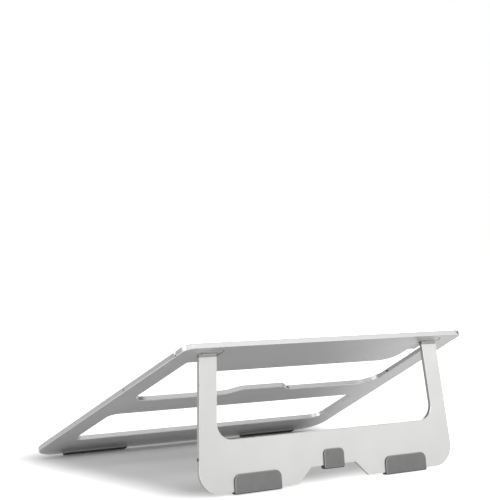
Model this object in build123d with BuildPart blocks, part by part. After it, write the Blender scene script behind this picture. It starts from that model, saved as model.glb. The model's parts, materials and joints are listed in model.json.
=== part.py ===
"""Foldable two-plate laptop stand.

An aluminium deck plate leans on a U-shaped leg that folds flat into the deck's rear opening.
Frame: +Z up, X across the stand, the front edge toward -Y, origin at the middle of the base.
Deck coordinates are (x, u, n): u runs up the slope from the front edge, n is the height above
the deck's underside. Leg coordinates are (x, s, o): s runs from the hinge axis to the foot,
o is the height above the middle of the sheet, toward the rear face.
"""
import os
from math import atan2, cos, isclose, radians, sin, sqrt, tan

from build123d import *

os.makedirs("parts", exist_ok=True)

# ---------------------------------------------------------------- driving dimensions, mm and degrees
deck_depth = 257.5
deck_rear_width = 257.4
side_taper = 4.45           # each side edge against the middle line
deck_thickness = 3.8
front_corner_radius = 22.0
rear_corner_radius = 8.0
edge_chamfer = 0.35         # broken edges of both sheets

rail_width = 18.7           # from the rear opening to the deck's side edge, along X
leg_opening_front = 139.3
leg_opening_corner = 15.5
bump_height = 9.2
bump_half_base = 31.0
bump_half_top = 20.4
bump_corner = 2.5

vent_front = 40.0
vent_rear = 108.0
vent_margin = 19.7          # beside the front opening, along X
vent_corner = 8.0

tongue_front = 201.5
tongue_corner = 14.0
tongue_gap = 3.4            # from the tongue's side edge to the arm

leg_thickness = 3.6
leg_length = 99.9          # hinge axis to the metal's lower edge
leg_side_gap = 0.35         # between the folded leg and the rails
leg_corner_radius = 16.5
arm_width = 14.8            # along X
crossbar_width = 37.4
crossbar_corner = 12.0
notch_depth = 11.3
notch_half_base = 32.8
notch_half_top = 20.8
notch_corner = 2.0
leg_opening_angle = 73.0    # from folded to open
arm_groove_start = 1.2      # groove across each arm's rear face, from the hinge axis
arm_groove_end = 2.5
arm_groove_depth = 0.8

hinge_from_rear = 16.3      # hinge axis to the deck's rear edge
hinge_n = 1.25              # hinge axis above the deck's underside
web_front = 217.3           # front edge of the thin skin above the hinge pockets
relief_width = 3.4          # slot between that skin and the rail
relief_length = 9.5
relief_corner = 1.5
pocket_gap = 0.1            # around the folded arm's ends
pin_radius = 0.6
running_gap = 0.03
bush_radius = 0.95
bush_length = 8.0
bush_setback = 0.2          # from the rail's wall
pin_end_gap = 0.5           # inside each end of the pin's seats
side_notch_radius = 1.3     # half-round notch in the deck's side edge at each pin bore
stop_gap = 0.05             # between the open arm and what it comes to rest on

leaf_middle = 102.0         # middle of each hinge leaf from the middle line
leaf_length = 18.3
leaf_width = 9.0
leaf_thickness = 1.6
leaf_recess = 0.1           # leaf surface above the underside
leaf_gap = 0.15
leaf_behind = 5.6           # middle of the leaf behind the hinge axis, before its front is cut
ear_width = 2.6
ear_gap = 0.3               # along X, between the ear and the arm
ear_radius = 1.2
leaf_screw_offset = 4.2     # inward from the middle of the leaf
leaf_screw_forward = 1.6
leaf_screw_radius = 0.6
leaf_screw_head_radius = 1.1
leaf_screw_head_height = 0.6
leaf_screw_length = 2.8
leaf_socket_radius = 0.45
leaf_socket_depth = 0.45

plunger_from_hinge = 74.4
plunger_height = 1.6        # bore axis above the underside
plunger_bore_radius = 1.15
plunger_mouth_radius = 1.05
plunger_lip = 0.15          # thickness of the lip that keeps the ball in
ball_radius = 1.1
ball_travel = 0.55
ball_gap = 0.02
dimple_gap = 0.45           # around the ball in the leg's dimple
spring_wire_radius = 0.14
spring_radius = 0.85        # to the middle of the wire
spring_pitch = 0.8
grub_length = 5.0
grub_recess = 0.9           # behind the deck's side face
grub_socket_radius = 0.5
grub_socket_depth = 1.6

foot_middle = 69.0          # middle of each leg pad from the middle line
foot_width = 40.4
foot_above = 12.5           # up the leg from the metal's lower edge
foot_below = 1.7
foot_corner = 5.0
pad_rear_skin = 1.5
pad_front_skin = 0.5
centre_pad_width = 18.6
centre_pad_above = 11.9     # up the leg from the notch
centre_pad_below = 2.9
centre_pad_corner = 3.8

strip_inner = 59.5
strip_outer = 119.5
strip_front = 1.5
strip_width = 6.5
strip_height = 1.9
strip_corner = 2.0

stop_middle = 89.5          # middle of each laptop stop from the middle line
stop_width = 52.0
stop_height = 10.0          # above the deck
stop_thickness = 2.4
stop_flange = 11.0
stop_flange_thickness = 2.0
stop_from_edge = 0.9
stop_round = 1.0
stop_corner = 4.0
stop_pad_thickness = 1.2
stop_pad_margin = 1.5
stop_screw_pitch = 34.0
stop_screw_radius = 1.25
stop_screw_head_radius = 2.3
stop_screw_head_height = 1.4
stop_screw_recess = 0.1
stop_screw_length = 5.4
stop_socket_radius = 1.1
stop_socket_depth = 0.9

top_pad_inner = 62.0
top_pad_outer = 118.0
top_pad_from_rear = 8.0
top_pad_depth = 20.0
top_pad_thickness = 1.0
top_pad_corner = 5.0

cut_past = 1.0              # how far a cut runs past the face it opens

sides = {"left": -1, "right": 1}

# ---------------------------------------------------------------- what follows from them
taper = tan(radians(side_taper))
hinge_u = deck_depth - hinge_from_rear
pocket_depth = hinge_n + leg_thickness / 2 + pocket_gap
opened = radians(leg_opening_angle)
foot_reach = leg_length + foot_below


def deck_half(u):
    """Half width of the deck at slope coordinate u."""
    return deck_rear_width / 2 + (deck_depth - u) * taper


def opening_half(u):
    """Half width of the rear opening at u."""
    return deck_half(u) - rail_width


def vent_half(u):
    """Half width of the front opening at u."""
    return deck_half(u) - vent_margin


def arm_outer(s):
    """Outer edge of the leg at leg coordinate s."""
    return opening_half(hinge_u) - leg_side_gap + s * taper


def arm_inner(s):
    """Inner edge of the leg's arms at s."""
    return arm_outer(s) - arm_width


def tongue_half(u):
    """Half width of the deck's tongue between the arms at u."""
    return arm_inner(hinge_u - u) - tongue_gap


def leg_point(s, o):
    """Deck coordinates (u, n) of a point of the open leg."""
    along = (-cos(opened), -sin(opened))
    out = (sin(opened), -cos(opened))
    return (hinge_u + s * along[0] + o * out[0], hinge_n + s * along[1] + o * out[1])


def stop_wall(n):
    """(u, n) of the wall that the open arm comes to rest on."""
    start = leg_point(0, leg_thickness / 2 + stop_gap)
    return (start[0] + (n - start[1]) / tan(opened), n)


front_touch = (strip_front, -strip_height)
rear_touch = leg_point(foot_reach, -leg_thickness / 2 - pad_front_skin)
tilt = atan2(front_touch[1] - rear_touch[1], rear_touch[0] - front_touch[0])
leg_lean = opened + tilt - radians(90)


def level(point):
    """(u, n) turned into distances along Y and Z from the deck's front bottom edge."""
    u, n = point
    return (u * cos(tilt) - n * sin(tilt), u * sin(tilt) + n * cos(tilt))


stop_tip = (stop_from_edge + stop_round, deck_thickness + stop_height - stop_round)
front_most = level(stop_tip)[0] - stop_round
rear_most = level(leg_point(foot_reach, leg_thickness / 2 + pad_rear_skin))[0]
deck_origin = Vector(0, -(front_most + rear_most) / 2, -level(front_touch)[1])
deck_plane = Plane(origin=deck_origin, x_dir=(1, 0, 0), z_dir=(0, -sin(tilt), cos(tilt)))
hinge_origin = deck_plane.from_local_coords(Vector(0, hinge_u, hinge_n))
leg_plane = Plane(origin=hinge_origin, x_dir=(1, 0, 0), z_dir=(0, cos(leg_lean), sin(leg_lean)))


def on_deck(n):
    """Plane parallel to the deck at height n; local x is X, local y is u."""
    return deck_plane.offset(n)


def on_leg(o):
    """Plane parallel to the leg's sheet at offset o; local x is X, local y is s."""
    return leg_plane.offset(o)


def across(x, u=0.0, n=0.0):
    """Plane across the stand at x; local x runs up the slope, local y away from the underside."""
    return Plane(origin=deck_plane.from_local_coords(Vector(x, u, n)),
                 x_dir=deck_plane.y_dir, z_dir=(1, 0, 0))


def across_leg():
    """Middle plane across the leg; local x runs down the leg, local y toward its rear face."""
    return Plane(origin=hinge_origin, x_dir=leg_plane.y_dir, z_dir=(1, 0, 0))


def trapezoid(low, high, half_low, half_high):
    """Corners of a symmetric trapezoid between two local y values."""
    return [(-half_low, low), (half_low, low), (half_high, high), (-half_high, high)]


def save(piece, name):
    """Label a finished piece and write its STEP file."""
    piece.part.label = name
    export_step(piece.part, f"parts/{name}.step")


# ---------------------------------------------------------------- deck plate
relief_rear = web_front + relief_length
pocket_front = web_front - cut_past
bump_top = leg_opening_front + bump_height
leaf_u = hinge_u + leaf_behind
plunger_u = hinge_u - plunger_from_hinge
strip_u = strip_front + strip_width / 2
stop_screws = [(sign * stop_middle + end * stop_screw_pitch / 2, strip_u)
               for sign in sides.values() for end in (-1, 1)]
leaf_screw_u = leaf_u - leaf_screw_forward
leaf_screws_x = {side: sign * (leaf_middle - leaf_screw_offset) for side, sign in sides.items()}
leaf_seat = leaf_recess + leaf_thickness
ear_inner = arm_inner(0) - ear_gap - ear_width

with BuildPart() as deck_plate:
    with BuildSketch(on_deck(0)):
        Polygon(*trapezoid(0, deck_depth, deck_half(0), deck_half(deck_depth)), align=None)
        fillet(vertices().group_by(Axis.Y)[0], front_corner_radius)
        fillet(vertices().group_by(Axis.Y)[-1], rear_corner_radius)
    extrude(amount=deck_thickness)

    # front opening, for air
    with BuildSketch(on_deck(0)):
        Polygon(*trapezoid(vent_front, vent_rear, vent_half(vent_front), vent_half(vent_rear)),
                align=None)
        fillet(vertices(), vent_corner)
    extrude(amount=deck_thickness, mode=Mode.SUBTRACT)

    # rear opening, which the leg folds into: bump in front, tongue behind, a slot beside each skin
    with BuildSketch(on_deck(0)):
        Polygon(*trapezoid(leg_opening_front, web_front, opening_half(leg_opening_front),
                           opening_half(web_front)), align=None)
        fillet(vertices().group_by(Axis.Y)[0], leg_opening_corner)
        Polygon(*trapezoid(leg_opening_front, bump_top, bump_half_base, bump_half_top),
                align=None, mode=Mode.SUBTRACT)
        bump = vertices().filter_by(lambda v: abs(v.X) < bump_half_base + cut_past)
        fillet(bump.filter_by(lambda v: v.Y < bump_top + cut_past), bump_corner)
        Polygon(*trapezoid(tongue_front, web_front, tongue_half(tongue_front), tongue_half(web_front)),
                align=None, mode=Mode.SUBTRACT)
        fillet(vertices().filter_by(lambda v: isclose(v.Y, tongue_front, abs_tol=cut_past)),
               tongue_corner)
        for sign in sides.values():
            Polygon((sign * opening_half(web_front), web_front),
                    (sign * opening_half(relief_rear), relief_rear),
                    (sign * (opening_half(relief_rear) - relief_width), relief_rear),
                    (sign * (opening_half(web_front) - relief_width), web_front), align=None)
        fillet(vertices().group_by(Axis.Y)[-1], relief_corner)
    extrude(amount=deck_thickness, mode=Mode.SUBTRACT)

    flats = deck_plate.faces().sort_by(Axis(deck_origin, deck_plane.z_dir))
    chamfer(flats[0].edges() + flats[-1].edges(), edge_chamfer)

    # milled from the underside: room for the folded arms' ends, with a rear wall that stops the
    # open leg, and for the leaves and their ears
    for sign in sides.values():
        with BuildSketch(on_deck(0)):
            Polygon((sign * tongue_half(pocket_front), pocket_front),
                    (sign * opening_half(pocket_front), pocket_front),
                    (sign * opening_half(hinge_u), hinge_u),
                    (sign * tongue_half(hinge_u), hinge_u), align=None)
        extrude(amount=pocket_depth, mode=Mode.SUBTRACT)
        with BuildSketch(across(sign * tongue_half(hinge_u))):
            Polygon((hinge_u, -cut_past), stop_wall(-cut_past), stop_wall(pocket_depth),
                    (hinge_u, pocket_depth), align=None)
        extrude(amount=sign * (opening_half(hinge_u) - tongue_half(hinge_u)), mode=Mode.SUBTRACT)
        with BuildSketch(on_deck(0)):
            with Locations((sign * leaf_middle, leaf_u)):
                SlotOverall(leaf_length + 2 * leaf_gap, leaf_width + 2 * leaf_gap)
            with Locations((sign * (ear_inner + ear_width / 2), (hinge_u + leaf_u) / 2)):
                Rectangle(ear_width + 2 * ear_gap, leaf_u - hinge_u)
        extrude(amount=leaf_seat, mode=Mode.SUBTRACT)
        with BuildSketch(on_deck(0)):
            with Locations((sign * deck_half(hinge_u), hinge_u)):
                Circle(side_notch_radius)
        extrude(amount=deck_thickness, mode=Mode.SUBTRACT)

    # cross bores through the rails for the hinge pins and the plungers
    for sign in sides.values():
        with BuildSketch(across(sign * (opening_half(hinge_u) - cut_past), hinge_u, hinge_n)):
            Circle(bush_radius)
        extrude(amount=sign * 2 * rail_width, mode=Mode.SUBTRACT)
        with BuildSketch(across(sign * (opening_half(plunger_u) - cut_past), plunger_u, plunger_height)):
            Circle(plunger_mouth_radius)
        extrude(amount=sign * rail_width, mode=Mode.SUBTRACT)
        with BuildSketch(across(sign * (opening_half(plunger_u) + plunger_lip), plunger_u, plunger_height)):
            Circle(plunger_bore_radius)
        extrude(amount=sign * 2 * rail_width, mode=Mode.SUBTRACT)

    # screw holes
    with BuildSketch(on_deck(0)):
        with Locations(stop_screws):
            Circle(stop_screw_radius)
    extrude(amount=deck_thickness, mode=Mode.SUBTRACT)
    with BuildSketch(on_deck(0)):
        with Locations(stop_screws):
            Circle(stop_screw_head_radius)
    extrude(amount=stop_screw_head_height, mode=Mode.SUBTRACT)
    with BuildSketch(on_deck(leaf_seat)):
        with Locations([(x, leaf_screw_u) for x in leaf_screws_x.values()]):
            Circle(leaf_screw_radius)
    extrude(amount=leaf_recess + leaf_screw_length - leaf_seat, mode=Mode.SUBTRACT)
save(deck_plate, "deck_plate")

# ---------------------------------------------------------------- support leg
notch_top = leg_length - notch_depth
crossbar_top = leg_length - crossbar_width
arm_end = -leg_thickness / 2
ball_x = (opening_half(plunger_u) + plunger_lip + ball_gap
          + sqrt(ball_radius ** 2 - plunger_mouth_radius ** 2))

with BuildPart() as support_leg:
    with BuildSketch(on_leg(-leg_thickness / 2)):
        Polygon(*trapezoid(arm_end, leg_length, arm_outer(arm_end), arm_outer(leg_length)),
                align=None)
        fillet(vertices().group_by(Axis.Y)[-1], leg_corner_radius)
        Polygon(*trapezoid(arm_end, crossbar_top, arm_inner(arm_end), arm_inner(crossbar_top)),
                align=None, mode=Mode.SUBTRACT)
        fillet(vertices().filter_by(lambda v: isclose(v.Y, crossbar_top, abs_tol=cut_past)),
               crossbar_corner)
        Polygon(*trapezoid(notch_top, leg_length, notch_half_top, notch_half_base),
                align=None, mode=Mode.SUBTRACT)
        notch = vertices().filter_by(lambda v: abs(v.X) < notch_half_base + cut_past)
        fillet(notch.filter_by(lambda v: v.Y > notch_top - cut_past), notch_corner)
    extrude(amount=leg_thickness)
    flats = support_leg.faces().sort_by(Axis(hinge_origin, leg_plane.z_dir))
    chamfer(flats[0].edges() + flats[-1].edges(), edge_chamfer)

    # arm ends rounded about the hinge axis
    with BuildSketch(across_leg()):
        with Locations((arm_end, 0)):
            Rectangle(leg_thickness, 2 * leg_thickness)
        Circle(leg_thickness / 2, mode=Mode.SUBTRACT)
    extrude(amount=arm_outer(leg_length), both=True, mode=Mode.SUBTRACT)

    # pin holes through the arm ends, and a groove across each arm's rear face below them
    with BuildSketch(across_leg()):
        Circle(pin_radius)
        with Locations(((arm_groove_start + arm_groove_end) / 2, leg_thickness / 2)):
            Rectangle(arm_groove_end - arm_groove_start, 2 * arm_groove_depth)
    extrude(amount=arm_outer(leg_length), both=True, mode=Mode.SUBTRACT)

    # dimples in the side edges, which the plunger balls drop into
    dimples = [leg_plane.from_local_coords(
        Vector(sign * ball_x, plunger_from_hinge, hinge_n - plunger_height))
        for sign in sides.values()]
    with Locations(*dimples):
        Sphere(ball_radius + dimple_gap, mode=Mode.SUBTRACT)
save(support_leg, "support_leg")

# ---------------------------------------------------------------- hinges
pin_start = ear_inner + pin_end_gap
bush_start = opening_half(hinge_u) + bush_setback
pin_end = bush_start + bush_length - pin_end_gap

for side, sign in sides.items():
    with BuildPart() as leaf:
        with BuildSketch(on_deck(leaf_recess)):
            with Locations((sign * leaf_middle, leaf_u)):
                SlotOverall(leaf_length, leaf_width)
        extrude(amount=leaf_thickness)
        # front face cut parallel to the open arm, in line with the pocket's wall
        with BuildSketch(on_leg(leg_thickness / 2 + stop_gap)):
            Rectangle(2 * deck_rear_width, 2 * leaf_width)
        extrude(amount=-leaf_width, mode=Mode.SUBTRACT)
        # ear that grips the pin
        with BuildSketch(across(sign * ear_inner)):
            with Locations((hinge_u, hinge_n)):
                Circle(ear_radius)
            with Locations(((hinge_u + leaf_u) / 2, leaf_recess + leaf_thickness / 2)):
                Rectangle(leaf_u - hinge_u, leaf_thickness)
            with Locations((hinge_u, hinge_n)):
                Circle(pin_radius + running_gap, mode=Mode.SUBTRACT)
        extrude(amount=sign * ear_width)
        with BuildSketch(on_deck(leaf_recess)):
            with Locations((leaf_screws_x[side], leaf_screw_u)):
                Circle(leaf_screw_radius)
        extrude(amount=leaf_thickness, mode=Mode.SUBTRACT)
        with BuildSketch(on_deck(leaf_recess)):
            with Locations((leaf_screws_x[side], leaf_screw_u)):
                Circle(leaf_screw_head_radius)
        extrude(amount=leaf_screw_head_height, mode=Mode.SUBTRACT)
    save(leaf, f"hinge_leaf_{side}")

    with BuildPart() as pin:
        with BuildSketch(across(sign * pin_start, hinge_u, hinge_n)):
            Circle(pin_radius)
        extrude(amount=sign * (pin_end - pin_start))
    save(pin, f"hinge_pin_{side}")

    with BuildPart() as bush:
        with BuildSketch(across(sign * bush_start, hinge_u, hinge_n)):
            Circle(bush_radius)
            Circle(pin_radius + running_gap, mode=Mode.SUBTRACT)
        extrude(amount=sign * bush_length)
    save(bush, f"hinge_bush_{side}")

with BuildPart() as leaf_screws:
    spots = [(x, leaf_screw_u) for x in leaf_screws_x.values()]
    with BuildSketch(on_deck(leaf_recess)):
        with Locations(spots):
            Circle(leaf_screw_head_radius)
    extrude(amount=leaf_screw_head_height)
    with BuildSketch(on_deck(leaf_recess)):
        with Locations(spots):
            Circle(leaf_screw_radius)
    extrude(amount=leaf_screw_length)
    with BuildSketch(on_deck(leaf_recess)):
        with Locations(spots):
            RegularPolygon(leaf_socket_radius, 6)
    extrude(amount=leaf_socket_depth, mode=Mode.SUBTRACT)
save(leaf_screws, "leaf_screws")

# ---------------------------------------------------------------- spring plungers in the rails
grub_end = deck_half(plunger_u) - grub_recess
grub_start = grub_end - grub_length
spring_start = ball_x + ball_radius + ball_travel + 2 * ball_gap + spring_wire_radius
spring_end = grub_start - ball_gap - spring_wire_radius

for side, sign in sides.items():
    seat = deck_plane.from_local_coords(Vector(sign * ball_x, plunger_u, plunger_height))
    coil_start = deck_plane.from_local_coords(Vector(sign * spring_start, plunger_u, plunger_height))
    with BuildPart() as ball:
        with Locations(seat):
            Sphere(ball_radius)
    save(ball, f"detent_ball_{side}")

    with BuildPart() as spring:
        with BuildLine() as coil:
            Helix(spring_pitch, spring_end - spring_start, spring_radius,
                  center=coil_start, direction=(sign, 0, 0))
        with BuildSketch(Plane(coil.line @ 0, z_dir=coil.line % 0)):
            Circle(spring_wire_radius)
        sweep()
    save(spring, f"detent_spring_{side}")

with BuildPart() as grub_screws:
    for sign in sides.values():
        with BuildSketch(across(sign * grub_start, plunger_u, plunger_height)):
            Circle(plunger_bore_radius)
        extrude(amount=sign * grub_length)
        with BuildSketch(across(sign * grub_end, plunger_u, plunger_height)):
            RegularPolygon(grub_socket_radius, 6)
        extrude(amount=-sign * grub_socket_depth, mode=Mode.SUBTRACT)
save(grub_screws, "grub_screws")


# ---------------------------------------------------------------- silicone pads of the leg
def leg_pad(name, middle, width, edge, above, below, corner):
    """Pad that wraps an edge of the leg's sheet at leg coordinate edge."""
    with BuildPart() as pad:
        with BuildSketch(on_leg(-leg_thickness / 2 - pad_front_skin)):
            with Locations((middle, edge + (below - above) / 2)):
                Rectangle(width, above + below)
            fillet(vertices().group_by(Axis.Y)[0], corner)
        extrude(amount=pad_front_skin + leg_thickness + pad_rear_skin)
        with BuildSketch(on_leg(-leg_thickness / 2)):
            with Locations((middle, edge - above)):
                Rectangle(2 * width, 2 * above)
        extrude(amount=leg_thickness, mode=Mode.SUBTRACT)
    save(pad, name)


for side, sign in sides.items():
    leg_pad(f"foot_pad_{side}", sign * foot_middle, foot_width, leg_length,
            foot_above, foot_below, foot_corner)
leg_pad("leg_centre_pad", 0, centre_pad_width, notch_top,
        centre_pad_above, centre_pad_below, centre_pad_corner)


# ---------------------------------------------------------------- feet, stops and pads of the deck
def flat_pad(name, n, x_low, x_high, u_low, u_high, corner, thickness):
    """Rounded rectangle lying on the deck at height n."""
    with BuildPart() as pad:
        with BuildSketch(on_deck(n)):
            with Locations(((x_low + x_high) / 2, (u_low + u_high) / 2)):
                RectangleRounded(abs(x_high - x_low), u_high - u_low, corner)
        extrude(amount=thickness)
    save(pad, name)


def height(edge):
    """Height of an edge's middle above the deck's underside."""
    return deck_plane.to_local_coords(edge.center()).Z


top_pad_rear = deck_depth - top_pad_from_rear
stop_inner = stop_from_edge + stop_thickness
flange_top = deck_thickness + stop_flange_thickness
flange_end = stop_from_edge + stop_flange - stop_pad_margin
pad_top = deck_thickness + stop_height - stop_pad_margin

for side, sign in sides.items():
    flat_pad(f"front_foot_{side}", 0, sign * strip_inner, sign * strip_outer,
             strip_front, strip_front + strip_width, strip_corner, -strip_height)
    flat_pad(f"rear_grip_pad_{side}", deck_thickness, sign * top_pad_inner, sign * top_pad_outer,
             top_pad_rear - top_pad_depth, top_pad_rear, top_pad_corner, top_pad_thickness)

    with BuildPart() as stop:
        middle = deck_plane.from_local_coords(Vector(sign * stop_middle, stop_inner, deck_thickness))
        with BuildSketch(Plane(origin=middle, x_dir=(1, 0, 0), z_dir=-deck_plane.y_dir)):
            Rectangle(stop_width, stop_height, align=(Align.CENTER, Align.MIN))
            fillet(vertices().group_by(Axis.Y)[-1], stop_corner)
        extrude(amount=stop_thickness)
        faces_along = stop.faces().sort_by(Axis(deck_origin, deck_plane.y_dir))
        rims = faces_along[0].edges() + faces_along[-1].edges()
        fillet(rims.filter_by(lambda edge: height(edge) > deck_thickness + stop_round), stop_round)
        with BuildSketch(on_deck(deck_thickness)):
            with Locations((sign * stop_middle, stop_from_edge + stop_flange / 2)):
                Rectangle(stop_width, stop_flange)
        extrude(amount=stop_flange_thickness)
        with BuildSketch(on_deck(deck_thickness)):
            with Locations(stop_screws):
                Circle(stop_screw_radius)
        extrude(amount=stop_screw_recess + stop_screw_length - deck_thickness, mode=Mode.SUBTRACT)
    save(stop, f"laptop_stop_{side}")

    with BuildPart() as stop_pad:
        with BuildSketch(across(sign * stop_middle)):
            Polygon((stop_inner, flange_top),
                    (flange_end, flange_top),
                    (flange_end, flange_top + stop_pad_thickness),
                    (stop_inner + stop_pad_thickness, flange_top + stop_pad_thickness),
                    (stop_inner + stop_pad_thickness, pad_top),
                    (stop_inner, pad_top), align=None)
        extrude(amount=stop_width / 2 - stop_pad_margin, both=True)
    save(stop_pad, f"stop_pad_{side}")

with BuildPart() as stop_screw_set:
    with BuildSketch(on_deck(stop_screw_recess)):
        with Locations(stop_screws):
            Circle(stop_screw_head_radius)
    extrude(amount=stop_screw_head_height - stop_screw_recess)
    with BuildSketch(on_deck(stop_screw_recess)):
        with Locations(stop_screws):
            Circle(stop_screw_radius)
    extrude(amount=stop_screw_length)
    with BuildSketch(on_deck(stop_screw_recess)):
        with Locations(stop_screws):
            RegularPolygon(stop_socket_radius, 6)
    extrude(amount=stop_socket_depth, mode=Mode.SUBTRACT)
save(stop_screw_set, "stop_screws")
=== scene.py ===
import json
import math

import bmesh
import bpy
from mathutils import Matrix, Vector


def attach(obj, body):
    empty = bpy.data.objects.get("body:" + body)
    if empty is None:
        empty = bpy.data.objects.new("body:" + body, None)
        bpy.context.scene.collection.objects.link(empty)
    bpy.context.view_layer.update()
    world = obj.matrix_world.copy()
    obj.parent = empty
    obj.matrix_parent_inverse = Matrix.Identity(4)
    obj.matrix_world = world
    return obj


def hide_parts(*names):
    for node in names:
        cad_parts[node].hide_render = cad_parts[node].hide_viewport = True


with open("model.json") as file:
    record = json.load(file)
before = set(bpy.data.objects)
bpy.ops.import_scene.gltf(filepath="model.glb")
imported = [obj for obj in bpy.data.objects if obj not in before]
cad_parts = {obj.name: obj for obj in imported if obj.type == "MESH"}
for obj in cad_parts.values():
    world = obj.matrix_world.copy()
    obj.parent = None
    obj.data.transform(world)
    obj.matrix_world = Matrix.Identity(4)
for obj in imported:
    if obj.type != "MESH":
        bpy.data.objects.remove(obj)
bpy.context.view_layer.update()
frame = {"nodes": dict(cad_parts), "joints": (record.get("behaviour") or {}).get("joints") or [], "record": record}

mm = 0.001
nodes = frame["nodes"]
record = frame["record"]
sides = {"left": -1, "right": 1}


# where things are: the tilted deck and the open leg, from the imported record
def mountAxis(name):
    return Vector(next(m["axis"] for m in record["mounts"] if m["name"] == name)).normalized()


fold = next(j for j in frame["joints"] if j["name"] == "leg_fold")
hinge = Vector(fold["pos_m"])
across = Vector((1, 0, 0))
deckUp = mountAxis("laptop_rest_left")      # away from the deck's top face
deckBack = deckUp.cross(across)             # up the slope, from the front edge to the hinge
deck = {"hingeBack": 241.2 * mm, "hingeHeight": 1.25 * mm, "thickness": 3.8 * mm, "depth": 257.5 * mm}
leg = {"length": 99.9 * mm, "thickness": 3.6 * mm, "notch": 11.3 * mm}
deckCorner = hinge - deckBack * deck["hingeBack"] - deckUp * deck["hingeHeight"]
legDown = Matrix.Rotation(math.radians(fold["range_deg"][1]), 3, "X") @ -deckBack
legRear = across.cross(legDown)


def placing(origin, along, out):
    turn = Matrix((across, along, out)).transposed().to_4x4()
    return Matrix.Translation(origin) @ turn


onDeck = placing(deckCorner, deckBack, deckUp)      # local y up the slope, z away from the underside
onLeg = placing(hinge, legDown, legRear)            # local y down the leg, z toward its rear face
print("frame: deck and leg planes found")


# camera
camera = {"place": (0.5548, 0.8666, 0.1741), "turn": (90.286, 0.299, 146.936), "lens": 88.7,
          "shift": (-0.028, -0.009), "clip": (0.05, 50)}
lensData = bpy.data.cameras.new("camera")
lensData.lens = camera["lens"]
lensData.shift_x, lensData.shift_y = camera["shift"]
lensData.clip_start, lensData.clip_end = camera["clip"]
view = bpy.data.objects.new("camera", lensData)
view.location = camera["place"]
view.rotation_euler = [math.radians(a) for a in camera["turn"]]
bpy.context.scene.collection.objects.link(view)
bpy.context.scene.camera = view
bpy.context.scene.view_settings.view_transform = "Standard"
print("camera set")


# small helpers
def linear(code):
    parts = [int(code[i:i + 2], 16) / 255 for i in (1, 3, 5)]
    return tuple(p / 12.92 if p <= 0.04045 else ((p + 0.055) / 1.055) ** 2.4 for p in parts) + (1.0,)


def shade(code, factor):
    return tuple(min(1.0, c * factor) for c in linear(code)[:3]) + (1.0,)


def addNode(tree, kind, settings=None, inputs=None):
    # an input takes a value, an output, or a node, whose first output is then used
    node = tree.nodes.new(kind)
    for name, value in (settings or {}).items():
        setattr(node, name, value)
    for name, value in (inputs or {}).items():
        if isinstance(value, bpy.types.Node):
            value = value.outputs[0]
        if isinstance(value, bpy.types.NodeSocket):
            tree.links.new(value, node.inputs[name])
        else:
            node.inputs[name].default_value = value
    return node


def newMaterial(name):
    material = bpy.data.materials.new(name)
    material.use_nodes = True
    material.node_tree.nodes.clear()
    return material, material.node_tree


def dress(piece, material):
    if not piece.material_slots:
        piece.data.materials.append(material)
    for slot in piece.material_slots:
        slot.material = material


def editing(piece):
    bpy.ops.object.select_all(action="DESELECT")
    piece.select_set(True)
    bpy.context.view_layer.objects.active = piece
    bpy.ops.object.mode_set(mode="EDIT")


def pick(piece, kind, test):
    # selects only the verts, edges or faces of the edited mesh that pass the test
    mesh = bmesh.from_edit_mesh(piece.data)
    for group in (mesh.verts, mesh.edges, mesh.faces):
        for item in group:
            item.select = False
    mesh.select_mode = {kind}
    bpy.context.tool_settings.mesh_select_mode = (kind == "VERT", kind == "EDGE", kind == "FACE")
    for item in {"VERT": mesh.verts, "EDGE": mesh.edges, "FACE": mesh.faces}[kind]:
        if test(item):
            item.select = True
    mesh.select_flush(True)
    bmesh.update_edit_mesh(piece.data)


def flatSheet(name, xLow, xHigh, yLow, yHigh):
    bpy.ops.object.select_all(action="DESELECT")
    bpy.ops.mesh.primitive_plane_add(size=1)
    piece = bpy.context.object
    piece.name = name
    piece.data.transform(Matrix.Translation(((xLow + xHigh) / 2, (yLow + yHigh) / 2, 0))
                         @ Matrix.Diagonal((xHigh - xLow, yHigh - yLow, 1, 1)))
    return piece


smoothUpTo = math.radians(35)


def thicken(height):
    # draws the flat outline that is being edited up to its height, and turns all faces outwards
    bpy.ops.mesh.select_all(action="SELECT")
    bpy.ops.mesh.extrude_region_move(TRANSFORM_OT_translate={"value": (0, 0, height)})
    bpy.ops.mesh.select_all(action="SELECT")
    bpy.ops.mesh.normals_make_consistent(inside=False)


def placeMesh(piece, matrix):
    bpy.ops.object.mode_set(mode="OBJECT")
    piece.data.transform(matrix)
    piece.data.validate()
    bpy.ops.object.select_all(action="DESELECT")
    piece.select_set(True)
    bpy.context.view_layer.objects.active = piece
    bpy.ops.object.shade_smooth_by_angle(angle=smoothUpTo)


# settings and ranges that several materials share
smooth = {"interpolation_type": "SMOOTHSTEP"}
mixColours = {"data_type": "RGBA"}
mixed = 2                                           # the colour output of a mix
mixFrom, mixTo = 6, 7                               # its two colour inputs
times = {"operation": "MULTIPLY"}
timesPlus = {"operation": "MULTIPLY_ADD"}
minus = {"operation": "SUBTRACT"}
minusClamped = {"operation": "SUBTRACT", "use_clamp": True}
magnitude = {"operation": "ABSOLUTE"}
dot = {"operation": "DOT_PRODUCT"}
vectorLength = {"operation": "LENGTH"}
mostOfNoise = {"From Min": 0.3, "From Max": 0.7}    # noise seldom leaves this span
allOfNoise = {"From Min": 0.25, "From Max": 0.75}


# a sheet's own plane, its cut walls and the broken edges between them, told apart by the normal
facing = {"wall": {"From Min": 0.35, "From Max": 0.15}, "offPlane": {"From Min": 0.97, "From Max": 0.85}}


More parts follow.
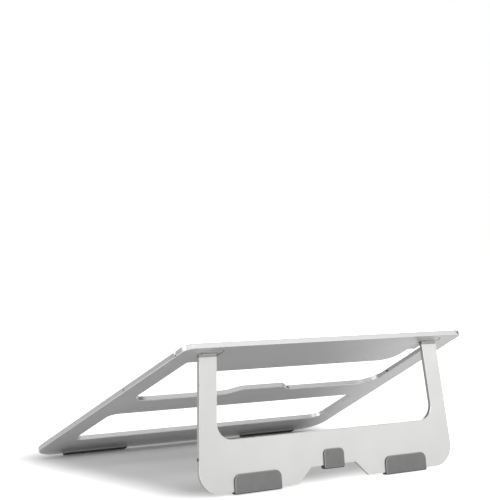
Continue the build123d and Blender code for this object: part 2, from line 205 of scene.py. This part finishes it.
def edgeMasks(tree, plane):
    normal = addNode(tree, "ShaderNodeTexCoord").outputs["Normal"]
    level = addNode(tree, "ShaderNodeVectorMath", dot, {0: normal, 1: tuple(plane)})
    flat = addNode(tree, "ShaderNodeMath", magnitude, {0: level.outputs["Value"]})
    wall = addNode(tree, "ShaderNodeMapRange", smooth, {"Value": flat, **facing["wall"]})
    offPlane = addNode(tree, "ShaderNodeMapRange", smooth, {"Value": flat, **facing["offPlane"]})
    broken = addNode(tree, "ShaderNodeMath", minusClamped, {0: offPlane, 1: wall})
    return wall, broken


def along(tree, origin, direction):
    # distance of the shaded point from origin, measured along direction
    place = addNode(tree, "ShaderNodeTexCoord").outputs["Object"]
    level = addNode(tree, "ShaderNodeVectorMath", dot, {0: place, 1: tuple(direction)})
    return addNode(tree, "ShaderNodeMath", minus, {0: level.outputs["Value"], 1: origin.dot(direction)})


def fromMiddleLine(tree):
    place = addNode(tree, "ShaderNodeTexCoord").outputs["Object"]
    parts = addNode(tree, "ShaderNodeSeparateXYZ", inputs={0: place})
    return addNode(tree, "ShaderNodeMath", magnitude, {0: parts.outputs["X"]})


# painted shade: bores and dimples that open in the side edges are painted dark inside, near their axis and beyond
# their outer distance
bore = {"fade": 0.16 * mm, "sideFade": 2 * mm, "tone": 0.12}
pinBore = {"middle": hinge, "reach": 1.05 * mm, "outer": 122 * mm}
dimple = {"middle": hinge + legDown * 74.4 * mm - legRear * 0.35 * mm, "reach": 1.26 * mm, "outer": 100 * mm}


def boreShadow(tree, colour, code, back, up, hole):
    flat = addNode(tree, "ShaderNodeCombineXYZ", inputs={
        "X": along(tree, hole["middle"], back), "Y": along(tree, hole["middle"], up)})
    away = addNode(tree, "ShaderNodeVectorMath", vectorLength, {0: flat})
    near = addNode(tree, "ShaderNodeMapRange", smooth, {
        "Value": away.outputs["Value"], "From Min": hole["reach"] + bore["fade"], "From Max": hole["reach"]})
    side = fromMiddleLine(tree)
    beyond = addNode(tree, "ShaderNodeMapRange", smooth, {
        "Value": side, "From Min": hole["outer"], "From Max": hole["outer"] + bore["sideFade"]})
    both = addNode(tree, "ShaderNodeMath", times, {0: near, 1: beyond})
    return addNode(tree, "ShaderNodeMix", mixColours, {
        0: both, mixFrom: colour, mixTo: shade(code, bore["tone"])}).outputs[mixed]


# painted shade: the knuckle under the leaf is painted into half shadow, and the milled groove below it is painted
# dark as shade
knuckle = {"end": {"From Min": 1.2 * mm, "From Max": 1.0 * mm}, "tone": 0.85, "groove": 1.85 * mm,
           "grooveHalf": {"From Min": 0.9 * mm, "From Max": 0.75 * mm}, "grooveShade": 0.5}


def legShadows(tree, colour, code):
    down = along(tree, hinge, legDown)
    above = addNode(tree, "ShaderNodeMapRange", smooth, {"Value": down, **knuckle["end"]})
    half = addNode(tree, "ShaderNodeMix", mixColours, {
        0: above, mixFrom: colour, mixTo: shade(code, knuckle["tone"])}).outputs[mixed]
    fromGroove = addNode(tree, "ShaderNodeMath", minus, {0: down, 1: knuckle["groove"]})
    off = addNode(tree, "ShaderNodeMath", magnitude, {0: fromGroove})
    within = addNode(tree, "ShaderNodeMapRange", smooth, {"Value": off, **knuckle["grooveHalf"]})
    grooved = addNode(tree, "ShaderNodeMix", mixColours, {
        0: within, mixFrom: half, mixTo: shade(code, knuckle["grooveShade"])}).outputs[mixed]
    return boreShadow(tree, grooved, code, legDown, legRear, dimple)


# painted shade: the cut walls of the deck's two openings are painted darker, as in the half light between the
# rails
openings = {"side": {"From Min": 120 * mm, "From Max": 119 * mm},
            "front": {"From Min": 8 * mm, "From Max": 10 * mm},
            "rear": {"From Min": 250 * mm, "From Max": 249 * mm}, "wallShade": 0.68}


def deckShadows(tree, colour, code):
    up = along(tree, deckCorner, deckBack)
    within = edgeMasks(tree, deckUp)[0]
    for value, span in ((fromMiddleLine(tree), "side"), (up, "front"), (up, "rear")):
        inside = addNode(tree, "ShaderNodeMapRange", smooth, {"Value": value, **openings[span]})
        within = addNode(tree, "ShaderNodeMath", times, {0: within, 1: inside})
    walled = addNode(tree, "ShaderNodeMix", mixColours, {
        0: within, mixFrom: colour, mixTo: shade(code, openings["wallShade"])}).outputs[mixed]
    return boreShadow(tree, walled, code, deckBack, deckUp, pinBore)


# bead-blasted, clear-anodised aluminium: an even satin sheen with faint rolling lines, and diamond-cut broken
# edges, brighter as a real cut finish and further lightened as a painted highlight;
# the cut walls take painted shade; the real grain is about 0.05 mm and is drawn coarser, so that it shows
blasted = {"grain": {"Scale": 1 / (0.192 * mm), "Detail": 3, "Roughness": 0.6},
           "cloud": {"Scale": 1 / (38.5 * mm), "Detail": 4, "Roughness": 0.55}, "cloudTones": (0.965, 1.02),
           "rolledLine": (1 / (38.5 * mm), 1 / (1.11 * mm), 1 / (1.11 * mm)),
           "rolled": {"Scale": 1.0, "Detail": 3}, "rolledShare": 0.25,
           "nicks": {"Scale": 1 / (2.38 * mm), "Detail": 4},
           "nicked": {"From Min": 0.35, "From Max": 0.6, "To Min": 0.75, "To Max": 1.0},
           "cutEdgeAndHighlight": 1.5, "edgeGloss": 0.12, "smoother": 0.05, "rougher": 0.05,
           "bump": {"Strength": 0.2, "Distance": 0.02 * mm}}


def aluminium(name, code, rough, plane, wallShade, shadows=None):
    material, tree = newMaterial(name)
    place = addNode(tree, "ShaderNodeTexCoord").outputs["Object"]
    grain = addNode(tree, "ShaderNodeTexNoise", inputs={"Vector": place, **blasted["grain"]})
    cloud = addNode(tree, "ShaderNodeTexNoise", inputs={"Vector": place, **blasted["cloud"]})
    drawn = addNode(tree, "ShaderNodeMapping", inputs={"Vector": place, "Scale": blasted["rolledLine"]})
    rolled = addNode(tree, "ShaderNodeTexNoise", inputs={"Vector": drawn, **blasted["rolled"]})
    nicks = addNode(tree, "ShaderNodeTexNoise", inputs={"Vector": place, **blasted["nicks"]})
    wall, broken = edgeMasks(tree, plane)
    tone = addNode(tree, "ShaderNodeMapRange", inputs={"Value": cloud, **mostOfNoise})
    darker, lighter = (shade(code, factor) for factor in blasted["cloudTones"])
    face = addNode(tree, "ShaderNodeMix", mixColours, {
        0: tone, mixFrom: darker, mixTo: lighter}).outputs[mixed]
    # painted shade: the cut walls are darkened by wallShade
    cut = addNode(tree, "ShaderNodeMix", mixColours, {
        0: wall, mixFrom: face, mixTo: shade(code, wallShade)}).outputs[mixed]
    # the nicked broken edges are lightened: partly the real diamond-cut finish, partly a painted highlight
    worn = addNode(tree, "ShaderNodeMapRange", inputs={"Value": nicks, **blasted["nicked"]})
    nickedEdgeAndHighlight = addNode(tree, "ShaderNodeMath", times, {0: broken, 1: worn})
    colour = addNode(tree, "ShaderNodeMix", mixColours, {
        0: nickedEdgeAndHighlight, mixFrom: cut, mixTo: shade(code, blasted["cutEdgeAndHighlight"])}).outputs[mixed]
    if shadows:
        colour = shadows(tree, colour, code)
    satin = addNode(tree, "ShaderNodeMapRange", inputs={
        "Value": grain, **allOfNoise,
        "To Min": rough - blasted["smoother"], "To Max": rough + blasted["rougher"]})
    keen = addNode(tree, "ShaderNodeMath", timesPlus, {0: nickedEdgeAndHighlight, 1: -blasted["edgeGloss"], 2: satin})
    height = addNode(tree, "ShaderNodeMath", timesPlus, {0: rolled, 1: blasted["rolledShare"], 2: grain})
    bump = addNode(tree, "ShaderNodeBump", inputs={"Height": height, **blasted["bump"]})
    shader = addNode(tree, "ShaderNodeBsdfPrincipled", inputs={
        "Base Color": colour, "Metallic": 1.0, "Roughness": keen, "Normal": bump})
    addNode(tree, "ShaderNodeOutputMaterial", inputs={"Surface": shader})
    return material


# compression-moulded silicone: a matt skin, faintly pebbled, with slow cloudy tone changes; the walls, rims and
# soles get painted shade and painted highlight in tones of their own; the pebbles are drawn at several times their
# real size, so that they show
moulded = {"pebble": {"Scale": 1 / (0.385 * mm)},
           "cloud": {"Scale": 1 / (5.55 * mm), "Detail": 5, "Roughness": 0.6}, "cloudTones": (0.93, 1.05),
           "sole": {"From Min": 0.25, "From Max": 0.55}, "smoother": 0.05, "rougher": 0.07,
           "specular": 0.35, "bump": {"Strength": 0.25, "Distance": 0.04 * mm}}


def silicone(name, code, rough, plane, paintedLightTones, sole=None):
    material, tree = newMaterial(name)
    place = addNode(tree, "ShaderNodeTexCoord").outputs["Object"]
    pebble = addNode(tree, "ShaderNodeTexVoronoi", inputs={"Vector": place, **moulded["pebble"]})
    cloud = addNode(tree, "ShaderNodeTexNoise", inputs={"Vector": place, **moulded["cloud"]})
    tone = addNode(tree, "ShaderNodeMapRange", inputs={"Value": cloud, **mostOfNoise})
    darker, lighter = (shade(code, factor) for factor in moulded["cloudTones"])
    colour = addNode(tree, "ShaderNodeMix", mixColours, {
        0: tone, mixFrom: darker, mixTo: lighter}).outputs[mixed]
    wall, broken = edgeMasks(tree, plane)
    masks = [(wall, "wall"), (broken, "rim")]
    if sole:
        normal = addNode(tree, "ShaderNodeTexCoord").outputs["Normal"]
        under = addNode(tree, "ShaderNodeVectorMath", dot, {0: normal, 1: tuple(sole)}).outputs["Value"]
        soleShadow = addNode(tree, "ShaderNodeMapRange", smooth, {"Value": under, **moulded["sole"]})
        masks.append((soleShadow, "sole"))
    # painted shade and painted highlight: each mask mixes in its wall, rim or sole tone
    for mask, part in masks:
        colour = addNode(tree, "ShaderNodeMix", mixColours, {
            0: mask, mixFrom: colour, mixTo: shade(code, paintedLightTones[part])}).outputs[mixed]
    satin = addNode(tree, "ShaderNodeMapRange", inputs={
        "Value": cloud, **allOfNoise,
        "To Min": rough - moulded["smoother"], "To Max": rough + moulded["rougher"]})
    bump = addNode(tree, "ShaderNodeBump", inputs={"Height": pebble, **moulded["bump"]})
    shader = addNode(tree, "ShaderNodeBsdfPrincipled", inputs={
        "Base Color": colour, "Metallic": 0.0, "Roughness": satin, "Specular IOR Level": moulded["specular"],
        "Normal": bump})
    addNode(tree, "ShaderNodeOutputMaterial", inputs={"Surface": shader})
    return material


# turned stainless steel and moulded bearing polymer: small parts with a fine tool or mould grain
turned = {"lines": {"Scale": 1 / (0.238 * mm), "Detail": 2}, "smoother": 0.05, "rougher": 0.08, "metal": 1.0,
          "bump": {"Strength": 0.15, "Distance": 0.02 * mm}}
bearing = {"lines": {"Scale": 1 / (0.333 * mm), "Detail": 3}, "smoother": 0.08, "rougher": 0.08, "metal": 0.0,
           "bump": {"Strength": 0.3, "Distance": 0.02 * mm}}


def smallPart(name, code, rough, made):
    material, tree = newMaterial(name)
    place = addNode(tree, "ShaderNodeTexCoord").outputs["Object"]
    lines = addNode(tree, "ShaderNodeTexNoise", inputs={"Vector": place, **made["lines"]})
    satin = addNode(tree, "ShaderNodeMapRange", inputs={
        "Value": lines, **mostOfNoise, "To Min": rough - made["smoother"], "To Max": rough + made["rougher"]})
    bump = addNode(tree, "ShaderNodeBump", inputs={"Height": lines, **made["bump"]})
    shader = addNode(tree, "ShaderNodeBsdfPrincipled", inputs={
        "Base Color": linear(code), "Metallic": made["metal"], "Roughness": satin, "Normal": bump})
    addNode(tree, "ShaderNodeOutputMaterial", inputs={"Surface": shader})
    return material


# brushed stainless leaf: straight brush lines along it, and a painted shadow line where its rim drops into the
# recess
leaf = {"middle": 102.0 * mm, "straight": 4.65 * mm, "radius": 4.5 * mm, "behind": 5.6 * mm,
        "rimWidth": 0.9 * mm, "rimFade": 0.36 * mm, "rimShade": 0.45,
        "brushLine": (1 / (5.55 * mm), 1 / (0.2 * mm), 1 / (0.2 * mm)), "brush": {"Scale": 1.0, "Detail": 3},
        "smoother": 0.05, "rougher": 0.06, "bump": {"Strength": 0.2, "Distance": 0.02 * mm}}


def leafSteel(name, code, rough):
    material, tree = newMaterial(name)
    place = addNode(tree, "ShaderNodeTexCoord").outputs["Object"]
    drawn = addNode(tree, "ShaderNodeMapping", inputs={"Vector": place, "Scale": leaf["brushLine"]})
    lines = addNode(tree, "ShaderNodeTexNoise", inputs={"Vector": drawn, **leaf["brush"]})
    # distance from the leaf's middle bar, which runs as far as its straight sides do
    fromMiddle = addNode(tree, "ShaderNodeMath", minus, {0: fromMiddleLine(tree), 1: leaf["middle"]})
    sideways = addNode(tree, "ShaderNodeMath", magnitude, {0: fromMiddle})
    past = addNode(tree, "ShaderNodeMath", minusClamped, {0: sideways, 1: leaf["straight"]})
    up = along(tree, hinge + deckBack * leaf["behind"], deckBack)
    spot = addNode(tree, "ShaderNodeCombineXYZ", inputs={"X": past, "Y": up})
    away = addNode(tree, "ShaderNodeVectorMath", vectorLength, {0: spot}).outputs["Value"]
    rimStart = leaf["radius"] - leaf["rimWidth"]
    rim = addNode(tree, "ShaderNodeMapRange", smooth, {
        "Value": away, "From Min": rimStart, "From Max": rimStart + leaf["rimFade"]})
    colour = addNode(tree, "ShaderNodeMix", mixColours, {
        0: rim, mixFrom: linear(code), mixTo: shade(code, leaf["rimShade"])}).outputs[mixed]
    satin = addNode(tree, "ShaderNodeMapRange", inputs={
        "Value": lines, **mostOfNoise, "To Min": rough - leaf["smoother"], "To Max": rough + leaf["rougher"]})
    bump = addNode(tree, "ShaderNodeBump", inputs={"Height": lines, **leaf["bump"]})
    shader = addNode(tree, "ShaderNodeBsdfPrincipled", inputs={
        "Base Color": colour, "Metallic": 1.0, "Roughness": satin, "Normal": bump})
    addNode(tree, "ShaderNodeOutputMaterial", inputs={"Surface": shader})
    return material


finishes = {
    "deck": aluminium("beadBlastedAnodisedDeck", "#D4D4D4", 0.38, deckUp, 0.97, deckShadows),
    "leg": aluminium("beadBlastedAnodisedLeg", "#D9D9D8", 0.40, legRear, 0.8, legShadows),
    "stop": aluminium("beadBlastedAnodisedStops", "#D4D4D4", 0.40, deckUp, 0.97),
    "leaf": leafSteel("brushedStainlessLeaf", "#D8D8D8", 0.38),
    "steel": smallPart("turnedStainless", "#BABABA", 0.28, turned),
    "polished": smallPart("polishedSteel", "#CACACA", 0.14, turned),
    "ball": smallPart("blackenedBallSteel", "#303030", 0.3, turned),
    "bush": smallPart("mouldedBearingPolymer", "#26272A", 0.50, bearing),
    # the wall, rim and sole numbers of the silicones are painted shade and painted highlight
    "grey": silicone("mouldedGreySilicone", "#868686", 0.62, deckUp, {"wall": 0.9, "rim": 1.1}),
    "legGrey": silicone("mouldedGreySiliconeFoot", "#868686", 0.62, legRear,
                        {"wall": 0.3, "rim": 1.5, "sole": 0.15}, legDown),
    "dark": silicone("mouldedDarkSilicone", "#4A4A4A", 0.6, deckUp, {"wall": 4.0, "rim": 1.0}),
}
for start, finish in (("deck_plate", "deck"), ("support_leg", "leg"), ("hinge_leaf", "leaf"),
                      ("hinge_pin", "polished"), ("hinge_bush", "bush"), ("leaf_screws", "steel"),
                      ("detent_ball", "ball"), ("detent_spring", "steel"), ("grub_screws", "steel"),
                      ("laptop_stop", "stop"), ("stop_screws", "steel")):
    for nodeName, node in nodes.items():
        if nodeName.startswith(start):
            dress(node, finishes[finish])
print("materials made")


# silicone pads that wrap an edge of the leg's sheet: a slab with soft rims, slotted for that sheet
touching = 0.001 * mm


def wrapPad(name, node, middle, sizes):
    edge = sizes["edge"]
    back = leg["thickness"] / 2 + sizes["rearSkin"]
    front = leg["thickness"] / 2 + sizes["frontSkin"]
    low, high = edge - sizes["above"], edge + sizes["below"]
    half = sizes["width"] / 2
    piece = flatSheet(name, middle - half, middle + half, low, high)
    editing(piece)
    pick(piece, "VERT", lambda v: v.co.y < edge)
    bpy.ops.mesh.bevel(offset=sizes["topCorner"], offset_type="OFFSET", segments=sizes["topSteps"],
                       affect="VERTICES")
    pick(piece, "VERT", lambda v: v.co.y > high - touching)
    bpy.ops.mesh.bevel(offset=sizes["lowCorner"], offset_type="OFFSET", segments=sizes["lowSteps"],
                       affect="VERTICES")
    thicken(back + front)
    for height, rim in ((back + front, sizes["rim"]), (0, sizes["frontRim"])):
        pick(piece, "EDGE", lambda e: all(abs(v.co.z - height) < touching for v in e.verts))
        bpy.ops.mesh.bevel(offset=rim, segments=sizes["rimSteps"], affect="EDGES")
    bpy.ops.object.mode_set(mode="OBJECT")
    piece.data.transform(Matrix.Translation((0, 0, -front)))
    # the slot is cut through both side walls and out at the top
    slit = flatSheet(name + "_slot", middle - 2 * half, middle + 2 * half, low - half, edge)
    editing(slit)
    thicken(leg["thickness"])
    bpy.ops.object.mode_set(mode="OBJECT")
    slit.data.transform(Matrix.Translation((0, 0, -leg["thickness"] / 2)))
    cut = piece.modifiers.new("slot", "BOOLEAN")
    cut.operation, cut.object, cut.solver = "DIFFERENCE", slit, "EXACT"
    bpy.context.view_layer.objects.active = piece
    bpy.ops.object.modifier_apply(modifier="slot")
    bpy.data.objects.remove(slit)
    placeMesh(piece, onLeg)
    dress(piece, finishes["legGrey"])
    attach(piece, "leg")
    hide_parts(node)
    return piece


footPad = {"edge": leg["length"], "width": 40.4 * mm, "above": 12.5 * mm, "below": 1.7 * mm,
           "rearSkin": 1.5 * mm, "frontSkin": 0.5 * mm, "topCorner": 5.0 * mm, "lowCorner": 1.0 * mm,
           "rim": 0.9 * mm, "frontRim": 0.2 * mm, "middle": 69.0 * mm,
           "topSteps": 8, "lowSteps": 5, "rimSteps": 5}
centrePad = dict(footPad, edge=leg["length"] - leg["notch"], width=18.6 * mm, above=11.9 * mm,
                 below=2.9 * mm, topCorner=3.8 * mm, lowCorner=1.6 * mm)
for side, sign in sides.items():
    wrapPad("foot_pad_moulding_" + side, "foot_pad_" + side, sign * footPad["middle"], footPad)
wrapPad("centre_pad_moulding", "leg_centre_pad", 0, centrePad)
print("leg pads moulded")


# flat silicone pieces of the deck: rounded corners, a soft rim and a shallow panel inside it
cornerSteps, rimSteps = 7, 4
level = 0.99                                        # a face whose normal rises more than this is the top


def stripPad(name, node, box, sizes, base, finish):
    xLow, xHigh, yLow, yHigh = box
    piece = flatSheet(name, xLow, xHigh, yLow, yHigh)
    editing(piece)
    bpy.ops.mesh.select_all(action="SELECT")
    bpy.ops.mesh.bevel(offset=sizes["corner"], offset_type="OFFSET", segments=cornerSteps, affect="VERTICES")
    thicken(sizes["thickness"])
    pick(piece, "EDGE", lambda e: all(abs(v.co.z - sizes["thickness"]) < touching for v in e.verts))
    bpy.ops.mesh.bevel(offset=sizes["rim"], segments=rimSteps, affect="EDGES")
    pick(piece, "FACE", lambda f: f.normal.z > level)
    bpy.ops.mesh.inset(thickness=sizes["border"])
    bpy.ops.mesh.inset(thickness=sizes["sink"])
    bpy.ops.transform.translate(value=(0, 0, -sizes["sink"]))
    placeMesh(piece, base)
    dress(piece, finish)
    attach(piece, "deck")
    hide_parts(node)
    return piece


gripPad = {"inner": 62.0 * mm, "outer": 118.0 * mm, "fromRear": 8.0 * mm, "depth": 20.0 * mm,
           "thickness": 1.0 * mm, "corner": 5.0 * mm, "rim": 0.35 * mm, "border": 1.0 * mm, "sink": 0.15 * mm}
frontFoot = {"inner": 59.5 * mm, "outer": 119.5 * mm, "front": 1.5 * mm, "width": 6.5 * mm,
             "thickness": 1.9 * mm, "corner": 2.0 * mm, "rim": 0.5 * mm, "border": 0.8 * mm, "sink": 0.2 * mm}
onTop = onDeck @ Matrix.Translation((0, 0, deck["thickness"]))
turnOver = Matrix.Diagonal((1, 1, -1, 1))
for side, sign in sides.items():
    ends = sorted((sign * gripPad["inner"], sign * gripPad["outer"]))
    rear = deck["depth"] - gripPad["fromRear"]
    stripPad("rear_grip_moulding_" + side, "rear_grip_pad_" + side, (*ends, rear - gripPad["depth"], rear),
             gripPad, onTop, finishes["grey"])
    ends = sorted((sign * frontFoot["inner"], sign * frontFoot["outer"]))
    foot = stripPad("front_foot_moulding_" + side, "front_foot_" + side,
                    (*ends, frontFoot["front"], frontFoot["front"] + frontFoot["width"]),
                    frontFoot, onDeck @ turnOver, finishes["dark"])
    foot.data.flip_normals()
print("deck pads moulded")


# L-shaped lining of each laptop stop
stopPad = {"middle": 89.5 * mm, "half": 24.5 * mm, "inner": 3.3 * mm, "flangeTop": 5.8 * mm,
           "flangeEnd": 10.4 * mm, "top": 12.3 * mm, "thickness": 1.2 * mm, "rim": 0.4 * mm, "nook": 1.0 * mm,
           "rimSteps": 3, "nookSteps": 5, "sharp": math.radians(57.3), "flat": math.radians(1)}
# its profile is drawn with x up the slope and y away from the deck, then stood across the stand; edges that
# turn by more than the sharp angle are rounded
standAcross = Matrix(((0, 0, 1, 0), (1, 0, 0, 0), (0, 1, 0, 0), (0, 0, 0, 1)))
for side, sign in sides.items():
    inner, bottom = stopPad["inner"], stopPad["flangeTop"]
    nook = Vector((inner + stopPad["thickness"], bottom + stopPad["thickness"], 0))
    piece = flatSheet("stop_lining_" + side, inner, nook.x, bottom, nook.y)
    editing(piece)
    pick(piece, "EDGE", lambda e: all(v.co.x > nook.x - touching for v in e.verts))
    bpy.ops.mesh.extrude_region_move(TRANSFORM_OT_translate={"value": (stopPad["flangeEnd"] - nook.x, 0, 0)})
    pick(piece, "EDGE", lambda e: all(
        v.co.y > nook.y - touching and v.co.x < nook.x + touching for v in e.verts))
    bpy.ops.mesh.extrude_region_move(TRANSFORM_OT_translate={"value": (0, stopPad["top"] - nook.y, 0)})
    thicken(2 * stopPad["half"])
    bpy.ops.mesh.select_all(action="SELECT")
    bpy.ops.mesh.dissolve_limited(angle_limit=stopPad["flat"])
    pick(piece, "EDGE", lambda e: all((v.co.xy - nook.xy).length < touching for v in e.verts))
    bpy.ops.mesh.bevel(offset=stopPad["nook"], segments=stopPad["nookSteps"], affect="EDGES")
    pick(piece, "EDGE", lambda e: e.calc_face_angle(0) > stopPad["sharp"]
         and any(v.co.x > inner + touching for v in e.verts)
         and any(v.co.y > bottom + touching for v in e.verts))
    bpy.ops.mesh.bevel(offset=stopPad["rim"], segments=stopPad["rimSteps"], affect="EDGES")
    start = Matrix.Translation((sign * stopPad["middle"] - stopPad["half"], 0, 0))
    placeMesh(piece, onDeck @ start @ standAcross)
    dress(piece, finishes["grey"])
    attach(piece, "deck")
    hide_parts("stop_pad_" + side)
print("stop linings moulded")


# studio: soft lamps, and a matt floor that keeps the shadow and glows white for the eye beyond it; the box round
# the shadow fades out at its sides, and its sides slope by the taper, so the box's painted outline sets where the
# shadow ends; the floor's glow also shows in reflections, as painted light
studio = {"floorSize": 60.0, "floorColour": "#F2F2F2", "floorSeen": 1.0, "floorGlowInReflections": 0.3,
          "shadowMiddle": -0.025, "shadowHalf": (0.109, 0.094, 0.0), "fade": 0.079, "taper": 0.12,
          "worldLight": 0.2, "worldGloss": 0.3}
lamps = {"top": {"place": (0.0, 0.0, 1.8), "size": (2.0, 2.0), "watts": 2.5},
         "rearTop": {"place": (0.0, 1.6, 1.3), "size": (1.6, 1.0), "watts": 7.8},
         "rightRearTop": {"place": (-1.0, 1.1, 0.95), "size": (0.9, 0.9), "watts": 2.9},
         "leftRearTop": {"place": (1.3, 1.0, 1.1), "size": (0.9, 0.9), "watts": 4.0},
         "rearLowRight": {"place": (-1.2, 1.6, 0.4), "size": (1.2, 0.7), "watts": 3.1},
         "rearLowLeft": {"place": (0.8, 1.8, 0.4), "size": (1.2, 0.7), "watts": 5.3},
         "frontRightLow": {"place": (-1.2, -1.4, 0.35), "size": (1.4, 0.6), "watts": 12.8},
         "leftLow": {"place": (1.8, 0.0, 0.4), "size": (1.4, 0.7), "watts": 10.1}}
lampTarget = Vector((0, 0, 0.05))
bpy.ops.object.select_all(action="DESELECT")
bpy.ops.mesh.primitive_plane_add(size=studio["floorSize"], location=(0, 0, 0))
floor = bpy.context.object
floor.name = "floor"
material, tree = newMaterial("paleFloor")
path = addNode(tree, "ShaderNodeLightPath")
place = addNode(tree, "ShaderNodeTexCoord").outputs["Object"]
parts = addNode(tree, "ShaderNodeSeparateXYZ", inputs={0: place})
wide = addNode(tree, "ShaderNodeMath", magnitude, {0: parts.outputs["X"]})
wider = addNode(tree, "ShaderNodeMath", timesPlus, {0: parts.outputs["Y"], 1: studio["taper"], 2: wide})
deep = addNode(tree, "ShaderNodeMath", timesPlus, {
    0: parts.outputs["X"], 1: -studio["taper"], 2: parts.outputs["Y"]})
centred = addNode(tree, "ShaderNodeMath", minus, {0: deep, 1: studio["shadowMiddle"]})
deeper = addNode(tree, "ShaderNodeMath", magnitude, {0: centred})
shape = addNode(tree, "ShaderNodeCombineXYZ", inputs={"X": wider, "Y": deeper})
beyond = addNode(tree, "ShaderNodeVectorMath", minus, {0: shape, 1: studio["shadowHalf"]})
outside = addNode(tree, "ShaderNodeVectorMath", {"operation": "MAXIMUM"}, {0: beyond, 1: (0, 0, 0)})
away = addNode(tree, "ShaderNodeVectorMath", vectorLength, {0: outside}).outputs["Value"]
halo = addNode(tree, "ShaderNodeMapRange", smooth, {
    "Value": away, "From Min": 0.0, "From Max": studio["fade"]})
direct = addNode(tree, "ShaderNodeMath", times, {0: path.outputs["Is Camera Ray"], 1: studio["floorSeen"]})
mirrored = addNode(tree, "ShaderNodeMath", timesPlus, {
    0: path.outputs["Is Glossy Ray"], 1: studio["floorGlowInReflections"], 2: direct})
seen = addNode(tree, "ShaderNodeMath", times, {0: halo, 1: mirrored})
matt = addNode(tree, "ShaderNodeBsdfDiffuse", inputs={"Color": linear(studio["floorColour"])})
glow = addNode(tree, "ShaderNodeEmission", inputs={"Color": (1, 1, 1, 1), "Strength": seen})
total = addNode(tree, "ShaderNodeAddShader", inputs={0: matt, 1: glow})
# from below the floor is clear, so that the underside can be looked at
clear = addNode(tree, "ShaderNodeBsdfTransparent")
behind = addNode(tree, "ShaderNodeNewGeometry").outputs["Backfacing"]
below = addNode(tree, "ShaderNodeMath", times, {0: behind, 1: path.outputs["Is Camera Ray"]})
surface = addNode(tree, "ShaderNodeMixShader", inputs={0: below, 1: total, 2: clear})
addNode(tree, "ShaderNodeOutputMaterial", inputs={"Surface": surface})
dress(floor, material)

# the world is white for the eye, dimmer as a light and in reflections
world = bpy.data.worlds.new("studio")
bpy.context.scene.world = world
world.use_nodes = True
tree = world.node_tree
tree.nodes.clear()
path = addNode(tree, "ShaderNodeLightPath")
dim, sheen = ((studio[part],) * 3 + (1,) for part in ("worldLight", "worldGloss"))
unseen = addNode(tree, "ShaderNodeMix", mixColours, {
    0: path.outputs["Is Glossy Ray"], mixFrom: dim, mixTo: sheen}).outputs[mixed]
shown = addNode(tree, "ShaderNodeMix", mixColours, {
    0: path.outputs["Is Camera Ray"], mixFrom: unseen, mixTo: (1, 1, 1, 1)}).outputs[mixed]
soft = addNode(tree, "ShaderNodeBackground", inputs={"Color": shown, "Strength": 1.0})
addNode(tree, "ShaderNodeOutputWorld", inputs={"Surface": soft})
for name, settings in lamps.items():
    lamp = bpy.data.lights.new(name, "AREA")
    lamp.shape = "RECTANGLE"
    lamp.size, lamp.size_y = settings["size"]
    lamp.energy = settings["watts"]
    lampObject = bpy.data.objects.new(name, lamp)
    lampObject.location = settings["place"]
    lampObject.rotation_euler = (lampTarget - Vector(settings["place"])).to_track_quat("-Z", "Y").to_euler()
    bpy.context.scene.collection.objects.link(lampObject)
print("studio set")
